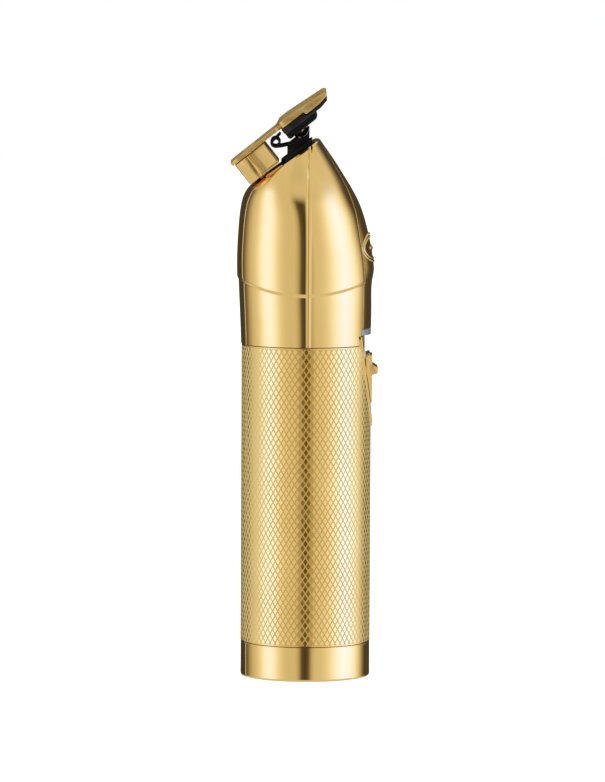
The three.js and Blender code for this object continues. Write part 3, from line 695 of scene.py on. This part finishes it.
def knurledTube():
    n, h = barrel["starts"], barrel["rowHeight"]
    low, high = barrel["bottom"] + barrel["lip"], barrel["top"] - barrel["lip"]
    rows = int((high - low) / h) + 2
    deep = barrel["radius"] - barrel["depth"]

    def at(i, z, r):
        a = 2 * math.pi * i / n
        return (r * math.cos(a), r * math.sin(a), z)

    verts, faces = [], []
    for k in range(-1, rows):
        z = low + (k + 0.37) * h
        for i in range(n):
            c = i + 0.5 * (k % 2)
            corners = [(c - 0.5, z), (c, z - h), (c + 0.5, z), (c, z + h)]
            f = barrel["flat"]
            base = len(verts)
            verts += [at(u, v, deep) for u, v in corners]
            verts += [at(lerp(c, u, f), lerp(z, v, f), barrel["radius"]) for u, v in corners]
            for j in range(4):
                m = (j + 1) % 4
                faces.append((base + j, base + m, base + 4 + m, base + 4 + j))
            faces.append((base + 4, base + 5, base + 6, base + 7))
    band = meshObject("gripBarrel", verts, faces, 10, 1e-3)
    bm = bmesh.new()
    bm.from_mesh(band.data)
    for height, side in ((low, -1), (high, 1)):
        whole = list(bm.verts) + list(bm.edges) + list(bm.faces)
        bmesh.ops.bisect_plane(bm, geom=whole, plane_co=(0, 0, height * mm), plane_no=(0, 0, side),
                               clear_outer=True, dist=1e-7)
    rims = [e for e in bm.edges if e.is_boundary]
    inner = (barrel["radius"] - barrel["wall"]) * mm
    pulled = bmesh.ops.extrude_edge_only(bm, edges=rims)["geom"]
    for v in (g for g in pulled if isinstance(g, bmesh.types.BMVert)):
        flat = Vector((v.co.x, v.co.y, 0)).normalized() * inner
        v.co = Vector((flat.x, flat.y, v.co.z))
    loops = [g for g in pulled if isinstance(g, bmesh.types.BMEdge)]
    bmesh.ops.bridge_loops(bm, edges=loops)
    bmesh.ops.recalc_face_normals(bm, faces=bm.faces)
    bm.to_mesh(band.data)
    bm.free()
    softShade(band, 10)
    return band


def addInto(obj, *others):
    # several closed bodies kept as one piece
    bm = bmesh.new()
    for part in (obj, *others):
        bm.from_mesh(part.data)
    bm.to_mesh(obj.data)
    bm.free()
    for part in others:
        bpy.data.objects.remove(part)
    return obj


# shield outline shared by the barrel, the bezel, the slider and the housing's opening
shield = {
    "top": 95.1, "side": [(10.5, 95.1), (8.5, 86), (6, 79), (3.1, 72.1), (0, 69.4)],
    "border": 1.1, "faceRadius": 18.6, "floor": 16.3, "back": 14.2,
}


def shieldOutline(inset, top):
    # one smooth line down each side, and a flat top
    half = [
        (w - inset * (1 - 0.12 * i) if w else 0, z + 0.5 * i * inset)
        for i, (w, z) in enumerate(shield["side"])
    ]
    along = naturalSpline([0, 1, 2, 3, 4], [p[0] for p in half])
    down = naturalSpline([0, 1, 2, 3, 4], [p[1] for p in half])
    right = [(along(t / 10), down(t / 10)) for t in range(40)]
    right[0] = (right[0][0], down(0))
    if top > right[0][1]:
        right.insert(0, (right[0][0], top))
    right = [p for p in right if p[1] <= top]
    point = [(0, down(4))]
    return right + point + [(-y, z) for y, z in reversed(right)]


def shieldPrism(name, inset, top, back, front):
    return prism(name, shieldOutline(inset, top), back, front, "yz")


def roundBand(name, radius, low, high, steps=128):
    return lathe(name, [(0, low), (radius, low), (radius, high), (0, high)], steps)


gripBarrel = knurledTube()
shieldCut = shieldPrism("shieldCut", -0.12, barrel["top"] + 3, 5, 25)
carve(gripBarrel, shieldCut.copy())
for low in (barrel["bottom"], barrel["top"] - barrel["lip"]):
    high = low + barrel["lip"]
    outer, inner = barrel["lipRadius"], barrel["radius"] - barrel["wall"]
    soft = 0.12
    ring = lathe("lip", [
        (inner, low), (outer - soft, low), (outer, low + soft), (outer, high - soft), (outer - soft, high),
        (inner, high),
    ], 144)
    carve(ring, shieldCut.copy())
    addInto(gripBarrel, ring)
bpy.data.objects.remove(shieldCut)
softShade(gripBarrel, 10)
fit(gripBarrel, "knurlGold", "handle", "grip_barrel")
print("knurled grip made")


# end cap and charging jack

cap = {"radius": 18.15, "base": -1, "top": 8.62, "fillet": 0.6, "wall": 1.4, "floor": 0.8}
jack = {"x": -7, "bore": 2.8, "radius": 3.6, "bottom": 1.5, "top": 10.5}


def makeCap():
    r, f, base = cap["radius"], cap["fillet"], cap["base"]
    profile = [(0, base)] + arcPoints(r - f, base + f, f, -90, 0, 8)
    profile += [(r, cap["top"] - 0.12), (r - 0.12, cap["top"]), (r - cap["wall"], cap["top"])]
    profile += [(r - cap["wall"], cap["floor"]), (0, cap["floor"])]
    shape = lathe("endCap", profile, 192)
    hole = lathe("jackHole", [(0, base - 1), (4.4, base - 1), (4.4, 4), (0, 4)], 64, (jack["x"], 0))
    carve(shape, hole)
    groove = lathe("footGroove", [
        (13.2, base - 1), (13.8, base - 1), (13.8, base + 0.35), (13.5, base + 0.5), (13.2, base + 0.35),
    ], 128)
    carve(shape, groove)
    return shape


def makeJack():
    x = jack["x"]
    bezel = lathe("jackBezel", [
        (2.95, -0.4), (3.25, -0.7), (3.9, -0.7), (4.1, -0.5), (4.1, 1.2), (2.95, 1.2),
    ], 64, (x, 0))
    shell = lathe("chargeJack", [
        (jack["bore"], jack["bottom"] + 0.3), (jack["bore"] + 0.3, jack["bottom"]),
        (jack["radius"], jack["bottom"]), (jack["radius"], jack["top"]), (0, jack["top"]),
        (0, jack["top"] - 1.5), (jack["bore"], jack["top"] - 1.5),
    ], 48, (x, 0))
    low, high = jack["bottom"] + 1, jack["top"] - 1.7
    pin = lathe("jackPin", [(0, low), (0.4, low), (0.7, low + 0.4), (0.7, high), (0, high)], 32, (x, 0))
    return bezel, shell, pin


fit(makeCap(), "mirrorGold", "handle", "end_cap")
jackBezel, jackShell, jackPin = makeJack()
fit(jackBezel, "blackPlastic", "handle", "jack_bezel")
fit(jackShell, "blackPlastic", "handle", "charge_jack")
fit(jackPin, "steel", "handle", "jack_pin")
print("cap and jack made")


# openings in the housing

window = {"low": 95.3, "high": 97.1, "half": 9.2, "radius": 18.1}


def softRect(halfY, low, high, r, steps=5):
    # rounded outline in Y and Z
    side = halfY - r
    corners = ((side, high - r, 0), (-side, high - r, 90), (-side, low + r, 180), (side, low + r, 270))
    return [p for y, z, a in corners for p in arcPoints(y, z, r, a, a + 90, steps)]


badge = {"z": 119.7, "half": 8.6, "high": 4.2, "lean": 9.4, "x": 18.2, "depth": 0.6, "bend": 2.85}


def badgeFrame(obj):
    # the plaque's own frame: X outwards, Y across, Z up its face
    turnMesh(obj, Matrix.Rotation(-math.radians(badge["lean"]), 4, "Y"))
    return turnMesh(obj, Matrix.Translation(Vector((badge["x"], 0, badge["z"])) * mm))


windowHole = softRect(window["half"] + 0.12, 90, window["high"] + 0.12, 0.5)
carve(frontShell, prism("windowCut", windowHole, 5, 25, "yz"))
carve(frontShell, shieldPrism("bezelCut", -0.12, 95.22, 5, 25))
seat = prism("bracketSeat", [(71.1, -13), (84.4, -13), (84.4, 13), (71.1, 13)], 117.2, 130)
carve(rearShell, fromBlade(seat))
for shell in (frontShell, rearShell):
    softShade(shell, 24)
print("housing openings cut")


def makeLens():
    bar = prism("indicatorLens", softRect(window["half"], window["low"], window["high"], 0.5), 14.6, 20, "yz")
    carve(bar, roundBand("lensFace", window["radius"], 90, 100), "INTERSECT")
    return roundEdges(bar, 0.12, 2)


fit(makeLens(), "smokedClear", "handle", "indicator_lens")


def makeBezel():
    plate = shieldPrism("switchBezel", 0, shield["top"], shield["back"], 22)
    carve(plate, roundBand("bezelFace", shield["faceRadius"], 60, 100, 192), "INTERSECT")
    step = shieldPrism("step", 0.5, shield["top"] + 2, 10, 25)
    inner = roundBand("stepFace", shield["faceRadius"] - 0.28, 60, 100, 192)
    carve(step, inner)
    carve(plate, step)
    carve(plate, shieldPrism("recess", shield["border"], shield["top"] + 2, shield["floor"], 25))
    carve(plate, boxShape("slot", (10, 20), (-1.6, 1.6), (78.6, 87.6)))
    return roundEdges(plate, 0.07, 2)


fit(makeBezel(), "mirrorGold", "handle", "switch_bezel")

slider = {
    "top": 90.2, "ribFront": 20.1, "rib": (84.4, 86.5), "gap": 0.3,
    "steps": ((0, 16.6, 17.2), (0.9, 17.1, 17.85), (1.8, 17.7, 18.5)),
}


def makeSlider():
    # three stacked shields, each drawn in from the last, with a thumb rib and two grip lines
    edge = shield["border"] + slider["gap"]
    plate, *upper = [
        shieldPrism("sliderLayer", edge + inset, slider["top"], back, front)
        for inset, back, front in slider["steps"]
    ]
    for layer in upper:
        carve(plate, layer, "UNION")
    plate.name = "powerSlider"
    low, high = slider["rib"]
    tip = slider["ribFront"]
    rib = prism("rib", [
        (17.9, low - 0.7), (19.2, low - 0.05), (19.7, low), (tip - 0.05, low + 0.4), (tip, low + 0.8),
        (tip, high - 0.8), (tip - 0.1, high - 0.45), (19.5, high - 0.1), (18.6, high + 0.5), (17.9, high + 0.9),
    ], -5.5, 5.5, "xz")
    carve(plate, rib, "UNION")
    for z in (79, 82.8):
        carve(plate, boxShape("cleat", (14.9, 17), (-1.2, 1.2), (z, z + 0.7)), "UNION")
    for z in (80.2, 81.6, 88.2):
        groove = boxShape("groove", (18.3, 19), (-4.2, 4.2), (z, z + 0.35))
        carve(plate, groove)
    return roundEdges(plate, 0.11, 2)


fit(makeSlider(), "mirrorGold", "slide", "power_slider")
print("window, bezel and slider made")


def lozenge(y, z, halfY, halfZ, base, peak):
    # a low four-sided stud standing on the plaque's face
    verts = [(base, y - halfY, z), (base, y, z - halfZ), (base, y + halfY, z), (base, y, z + halfZ)]
    verts.append((peak, y, z))
    return meshObject("stud", verts, [(0, 1, 2, 3), (0, 1, 4), (1, 2, 4), (2, 3, 4), (3, 0, 4)], 10)


badgeProfile = [
    # inset from the oval's edge, height of the face
    (0, -0.5), (0, 0), (0.12, 0.16), (0.28, 0.2), (0.44, 0.14), (0.52, -0.05), (0.6, -0.2), (0.78, -0.2),
    (0.86, 0.0), (0.98, 0.16), (1.14, 0.2), (1.3, 0.14), (1.4, -0.06), (1.5, -0.22), (2.2, -0.22), (3.2, -0.22),
]


def bentBack(y):
    # the plaque follows the crown of the spine
    return -badge["bend"] * (y / badge["half"]) ** 2


def crossBars(first, steps):
    # closes a ring with bars across it, so that the face bends
    return [
        (first + i, first + i + 1, first + steps - i - 1, first + (steps - i) % steps)
        for i in range(steps // 2)
    ]


def makeBadge():
    # oval plaque with a double rim and a row of diamond studs
    steps = 120
    verts = []
    for inset, height in badgeProfile:
        for i in range(steps):
            a = 2 * math.pi * i / steps
            y, z = (badge["half"] - inset) * math.cos(a), (badge["high"] - inset) * math.sin(a)
            verts.append((height + bentBack(y), y, z))
    rings = len(badgeProfile)
    faces = ringFaces(rings, steps) + crossBars((rings - 1) * steps, steps)
    back = len(verts)
    verts += [(x - badge["depth"], y, z) for x, y, z in verts[:steps]]
    faces += [(i, (i + 1) % steps, back + (i + 1) % steps, back + i) for i in range(steps)]
    faces += crossBars(back, steps)
    plate = meshObject("badgePlate", verts, faces, 30)
    studs = [lozenge(0, 0, 1.9, 1.8, -0.5, 0.42)]
    for sign in (-1, 1):
        studs.append(lozenge(sign * 3.3, 0, 1.2, 1.2, -1.0, bentBack(3.3) + 0.25))
        studs.append(lozenge(sign * 5.3, 0, 0.7, 0.75, -1.2, bentBack(5.3) + 0.12))
    return badgeFrame(addInto(plate, *studs))


fit(makeBadge(), "mirrorGold", "handle", "badge_plate")
print("badge made")


# blade set, in the blade's own frame

blade = {
    "heel": 72.5, "headStart": 88.6, "stem": 12, "head": 20, "inner": 124.55, "stemOuter": 125.65,
    "headOuter": 126.3, "root": 101.4, "tips": 105.8, "teeth": 27, "screwAt": 79.5, "screwY": 6,
}
cutter = {
    "rear": 89.6, "step": 97.4, "tips": 104.8, "root": 100.6, "half": 17, "bottom": 122.4, "top": 124.3,
    "toothTop": 123.4, "teeth": 19,
}


def mirrored(points):
    return points + [(u, -y) for u, y in reversed(points)]


def toothGaps(root, tips, half, count):
    # one tool with every gap: a narrow round root that opens to the tips
    pitch = 2 * half / count
    tools = []
    for i in range(count - 1):
        y = -half + (i + 0.85) * pitch
        gap = arcPoints(root + 0.16, y, 0.16, 90, 270, 6)
        gap += [(tips + 2, y - 0.3 * pitch), (tips + 2, y + 0.3 * pitch)]
        tools.append(prism("gap", gap, 118, 130))
    return addInto(tools[0], *tools[1:])


def bladeHole(y, profile):
    return lathe("hole", profile, 48, (blade["screwAt"], y))


def makeFixedBlade():
    b = blade
    plan = mirrored(
        arcPoints(b["heel"] + 2.6, 9.4, 2.6, 180, 90, 8)
        + [(b["headStart"] - 0.5, b["stem"])]
        + arcPoints(b["headStart"] - 0.5, b["stem"] + 1.1, 1.1, -90, -20, 5)
        + arcPoints(b["headStart"] + 3.0, b["head"] - 1.4, 1.4, 165, 90, 6)
        + [(b["root"] - 1, b["head"])]
        + arcPoints(b["tips"] - 0.5, b["head"] - 1.4, 1.4, 90, 0, 6)
    )
    shape = prism("fixedBlade", plan, 120, 130)
    side = [
        (b["heel"] - 2, b["inner"] + 0.25), (b["heel"] + 0.6, b["inner"]), (97.6, b["inner"]), (97.75, 123.75),
        (98.1, 123.6), (102.6, 123.6), (b["tips"] - 0.9, 124.0), (b["tips"] - 0.2, 124.25), (b["tips"], 124.6),
        (b["tips"] - 0.3, 124.95), (105.2, 125.3), (93.4, b["headOuter"]), (90.2, b["headOuter"]),
        (88.9, b["stemOuter"] + 0.08), (88.2, b["stemOuter"]), (b["heel"] - 2, b["stemOuter"]),
    ]
    carve(shape, prism("side", side, -30, 30, "xz"), "INTERSECT")
    roundEdges(shape, 0.16, 3, 25)
    sunk = [(0, 118), (1.6, 118), (1.6, b["inner"]), (2.7, 125.66), (2.7, 127), (0, 127)]
    for y in (-b["screwY"], b["screwY"]):
        carve(shape, bladeHole(y, sunk))
    for y in (-9.6, 9.6):
        notch = boxShape("notch", (b["heel"] - 2, b["heel"] + 2.2), (y - 0.55, y + 0.55), (120, 130))
        carve(shape, notch)
    carve(shape, toothGaps(b["root"], b["tips"], b["head"], b["teeth"]))
    softShade(shape, 25)
    return fromBlade(shape)


def makeCutter():
    c = cutter
    plan = mirrored(
        [(c["rear"], c["half"] - 2.2), (c["rear"] + 0.5, c["half"] - 1), (c["rear"] + 2.6, c["half"])]
        + [(c["root"], c["half"]), (c["tips"], c["half"] - 0.25)]
    )
    shape = prism("movingBlade", plan, 120, 126)
    side = [
        (c["rear"], c["bottom"] + 0.5), (c["rear"] + 0.3, c["bottom"]), (102.2, c["bottom"]),
        (c["tips"], 122.95), (c["tips"], c["toothTop"]), (c["step"], c["toothTop"]),
        (c["step"], c["top"]), (c["rear"], c["top"]),
    ]
    carve(shape, prism("side", side, -30, 30, "xz"), "INTERSECT")
    roundEdges(shape, 0.13, 2, 25)
    carve(shape, boxShape("window", (90.4, 96.5), (-2.9, 2.9), (118, 128)))
    for sign in (-1, 1):
        hole = lathe("hole", [(0, 118), (1.1, 118), (1.1, 128), (0, 128)], 32, (93.4, sign * 6.5))
        carve(shape, hole)
    carve(shape, toothGaps(c["root"], c["tips"], c["half"], c["teeth"]))
    softShade(shape, 25)
    return fromBlade(shape)


def makeFollower():
    side = [
        (89.5, 120.9), (89.9, 120.4), (98.9, 120.4), (99.7, 120.9), (100, 121.7), (99.8, 122.2), (89.5, 122.2),
    ]
    shape = prism("bladeFollower", side, -7, 7, "xz")
    carve(shape, boxShape("guide", (90.4, 96.5), (-2.75, 2.75), (118, 124)))
    for sign in (-1, 1):
        pad = boxShape("pad", (91.2, 98.2), sorted((sign * 3.9, sign * 6.1)), (120, 120.75))
        carve(shape, pad)
        carve(shape, boxShape("rib", (90.6, 98.8), sorted((sign * 6.62, sign * 8)), (121.0, 121.35)))
    return fromBlade(roundEdges(shape, 0.16, 2))


fit(makeFixedBlade(), "bladeGold", "handle", "fixed_blade")
fit(makeCutter(), "blackSteel", "cutter", "moving_blade")
fit(makeFollower(), "blackPlastic", "cutter", "blade_follower")
print("blades made")

bracket = {
    "rear": 73.1, "post": 77.8, "front": 83.4, "bottom": 117.5, "top": 124.25, "half": 11.5, "round": 3.6,
    "foot": (76.6, 79), "screwX": -8.4, "screwY": 5,
}


def makeBracket():
    b = bracket
    r, half = b["round"], b["half"]
    plan = mirrored(
        arcPoints(b["rear"] + r, half - r, r, 180, 90, 12)
        + arcPoints(b["post"] - 0.6, half - 0.6, 0.6, 90, 0, 4)
        + [(b["post"], half - 1), (b["front"], half - 1)]
    )
    shape = prism("bladeBracket", plan, b["bottom"], b["top"])
    for sign in (-1, 1):
        # each flank is hollowed beside the post and keeps a rim along its front and foot
        deep = arcPoints(b["post"] + 2.0, half - 1.0, 1.9, 180, 270, 8)
        deep = [(u, max(y, half - 1.75)) for u, y in deep]
        edge = b["front"] - 0.42
        hollow = deep + [(edge, half - 1.25), (edge, half + 1), (b["post"] + 0.1, half + 1)]
        carve(shape, prism("flank", [(u, sign * y) for u, y in hollow], b["bottom"] + 0.5, 130))
    foot = boxShape("foot", b["foot"], (-8, 8), (105, b["bottom"] + 1))
    carve(shape, foot, "UNION")
    for sign in (-1, 1):
        y = sign * blade["screwY"]
        carve(shape, bladeHole(y, [(0, 118.3), (1.4, 118.3), (1.4, 127), (0, 127)]))
    fromBlade(shape)
    carve(shape, boxShape("level", (-40, 20), (-30, 30), (100, 132.9)))
    carve(shape, boxShape("armRoom", (-6.9, 20), (-30, 30), (100, 141)))
    for sign in (-1, 1):
        at = (b["screwX"], sign * b["screwY"])
        carve(shape, lathe("hole", [(0, 130), (1.1, 130), (1.1, 136.3), (0, 136.3)], 24, at))
    return roundEdges(shape, 0.14, 3)


def makeBladeScrew(y):
    top = blade["stemOuter"] - 0.1
    shape = lathe("bladeScrew", [
        (0, 118.6), (1.0, 118.6), (1.25, 118.85), (1.25, blade["inner"]),
        (2.3, top - 0.12), (2.22, top), (0, top),
    ], 48)
    for turn in (0, 1):
        a, b = ((-1.35, 1.35), (-0.24, 0.24)) if turn else ((-0.24, 0.24), (-1.35, 1.35))
        carve(shape, boxShape("cross", a, b, (top - 0.75, 130)))
    turnMesh(shape, Matrix.Rotation(math.radians(22 if y > 0 else -31), 4, "Z"))
    turnMesh(shape, Matrix.Translation(Vector((blade["screwAt"], y, 0)) * mm))
    return fromBlade(shape)


fit(makeBracket(), "brushedGold", "handle", "blade_bracket")
fit(makeBladeScrew(-blade["screwY"]), "steel", "handle", "blade_screw_left")
fit(makeBladeScrew(blade["screwY"]), "steel", "handle", "blade_screw_right")

spring = {"x": -8.9, "z": 149.1, "wire": 0.7, "coil": 1.15, "inner": 4.4, "outer": 7.2, "turns": 4}


def makeSpring():
    # a bridge under the cutter's back edge, a coil on each side, and a leg out of each coil
    s = spring
    r, wire = s["coil"], s["wire"]
    inY, outY = s["inner"] + wire / 2, s["outer"] - wire / 2
    half = [(1.2, 0, 2.3), (1.2, inY - 0.5, 2.3), (1.0, inY - 0.1, 2.1)]
    steps = 26 * s["turns"]
    for i in range(steps + 1):
        a = math.radians(lerp(180, 270 + 360 * s["turns"] - 360, i / steps))
        half.append((r * math.cos(a), lerp(inY, outY, i / steps), r * math.sin(a)))
    half += [(1.4, outY, -1.05), (3.4, outY, -0.62), (4.2, outY - 0.2, -0.45)]
    points = [(x, -y, z) for x, y, z in reversed(half[1:])] + half
    path = [(s["x"] + x, y, s["z"] + z) for x, y, z in points]
    return wireTube("tensionSpring", path, wire / 2 - 0.03, 12)


fit(makeSpring(), "blackSteel", "handle", "tension_spring")
print("bracket and spring made")


# rocking arm and its ball tip

arm = {
    "pivot": 127, "pin": 1.5, "front": 0.6, "rear": -5.6, "half": 3.5, "wide": 4.8, "fork": 2.3, "foot": 116.8,
}
tip = {"x": -2.25, "z": 152.9, "radius": 2.6, "stem": 1.2, "stemFoot": 145.2}


def ballProfile(radius, centre, stemRadius, foot):
    start = -90 + math.degrees(math.asin(stemRadius / radius))
    return [(0, foot), (stemRadius, foot)] + arcPoints(0, centre, radius, start, 90, 20)


def makeArm():
    a = arm
    side = [
        (a["rear"], a["foot"]), (a["front"], a["foot"]), (a["front"], 153.6), (a["rear"], 148.6),
    ]
    shape = prism("driveArm", side, -6, 6, "xz")
    front = [(-a["wide"], 110), (a["wide"], 110), (a["wide"], 131), (a["half"], 137), (a["half"], 156)]
    front += [(-a["half"], 156), (-a["half"], 137), (-a["wide"], 131)]
    carve(shape, prism("front", front, -12, 8, "yz"), "INTERSECT")
    carve(shape, boxShape("fork", (-12, 8), (-a["fork"], a["fork"]), (110, 123.5)))
    bore = lathe("bore", [(0, -12), (a["pin"] + 0.1, -12), (a["pin"] + 0.1, 8), (0, 8)], 48)
    turnMesh(bore, Matrix.Translation((0, 0, a["pivot"] * mm)) @ Matrix.Rotation(math.pi / 2, 4, "Y"))
    carve(shape, bore)
    roundEdges(shape, 0.22, 3)
    loose = ballProfile(tip["radius"] + 0.2, tip["z"], tip["stem"] + 0.15, tip["stemFoot"] - 0.2)
    carve(shape, lathe("room", loose, 64, (tip["x"], 0)))
    # a scoop across the head shows the ball from the side
    scoop = lathe("scoop", [(0, -6), (2.62, -6), (2.62, 6), (0, 6)], 64)
    scoopCentre = Matrix.Translation(Vector((tip["x"], 0, tip["z"] - 0.15)) * mm)
    turnMesh(scoop, scoopCentre @ Matrix.Rotation(math.pi / 2, 4, "X"))
    carve(shape, scoop)
    softShade(shape, 28)
    return shape


def makeTip():
    profile = ballProfile(tip["radius"], tip["z"], tip["stem"], tip["stemFoot"])
    return lathe("driveTip", profile, 64, (tip["x"], 0), 40)


fit(makeArm(), "blackPlastic", "arm", "drive_arm")
fit(makeTip(), "brass", "arm", "drive_tip")


def rimBlock(name, x, y, z):
    # a block in the slanted rim's frame, whose origin is the peak
    px, pz = housing["peak"]
    shape = boxShape(name, x, y, z)
    turnMesh(shape, Matrix.Rotation(-math.radians(housing["rimTilt"]), 4, "Y"))
    return turnMesh(shape, Matrix.Translation(Vector((px, 0, pz)) * mm))


def makeCover():
    # black plate just inside the mouth, with a raised collar round the arm
    rows = [lerp(118, 152, i / 20) for i in range(21)]
    around = 96
    inset = housing["wall"] + 0.2
    turns = [2 * math.pi * k / around for k in range(around)]
    verts = [(*bodyPoint(z, turn, inset), z) for z in rows for turn in turns]
    last = len(verts) - around
    faces = ringFaces(len(rows), around) + [tuple(range(around)), tuple(range(last, last + around))]
    plate = meshObject("neckCover", verts, faces)
    carve(plate, rimBlock("slab", (-60, 20), (-30, 30), (-3, -0.7)), "INTERSECT")
    lip = prism("lip", softRect(6.2, -7.3, 1.4, 1.6), 130, 160, "yz")
    turnMesh(lip, Matrix(((0, 0, 1, 0), (0, 1, 0, 0), (1, 0, 0, 0), (0, 0, 0, 1))))
    carve(lip, rimBlock("lipSlab", (-60, 20), (-30, 30), (-2.9, 0.9)), "INTERSECT")
    roundEdges(lip, 0.22, 3)
    carve(plate, lip, "UNION")
    carve(plate, boxShape("passage", (arm["rear"] - 0.8, arm["front"] + 0.4), (-4.9, 4.9), (120, 160)))
    low, high = bracket["foot"]
    carve(plate, fromBlade(boxShape("footHole", (low - 0.3, high + 0.3), (-8.3, 8.3), (100, 130))))
    for i in range(5):
        # drain slots in the plate's rear half, hidden under the bracket
        carve(plate, rimBlock("slot", (-17.2 + i * 0.9, -16.8 + i * 0.9), (-5, 5), (-1.1, 0)))
    softShade(plate, 28)
    return plate


fit(makeCover(), "blackPlastic", "handle", "neck_cover")
print("arm and cover made")


fit(frontShell, "mirrorGold", "handle", "front_shell")
fit(rearShell, "mirrorGold", "handle", "rear_shell")


# inner pieces that stay as they are and only get their material

kept = {
    "blackPlastic": ("switch_actuator", "motor_end_bell", "motor_lead_black"),
    "greyPlastic": ("housing_collar", "base_collar", "drive_frame", "chassis"),
    "steel": ("slide_switch", "arm_pivot_pin", "bracket_screw_left", "bracket_screw_right", "motor_screw_left",
              "motor_screw_right", "motor_can", "rotor_shaft", "battery_tab_bottom", "battery_tab_top"),
    "brass": ("motor_bearing", "eccentric_cam"),
    "copper": ("motor_armature",),
    "cellWrap": ("battery_cell",),
    "boardGreen": ("circuit_board",),
    "smokedClear": ("indicator_led",),
    "redWire": ("motor_lead_red",),
}
for finish, names in kept.items():
    for name in names:
        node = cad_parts[name]
        node.data.materials.clear()
        node.data.materials.append(finishes[finish])
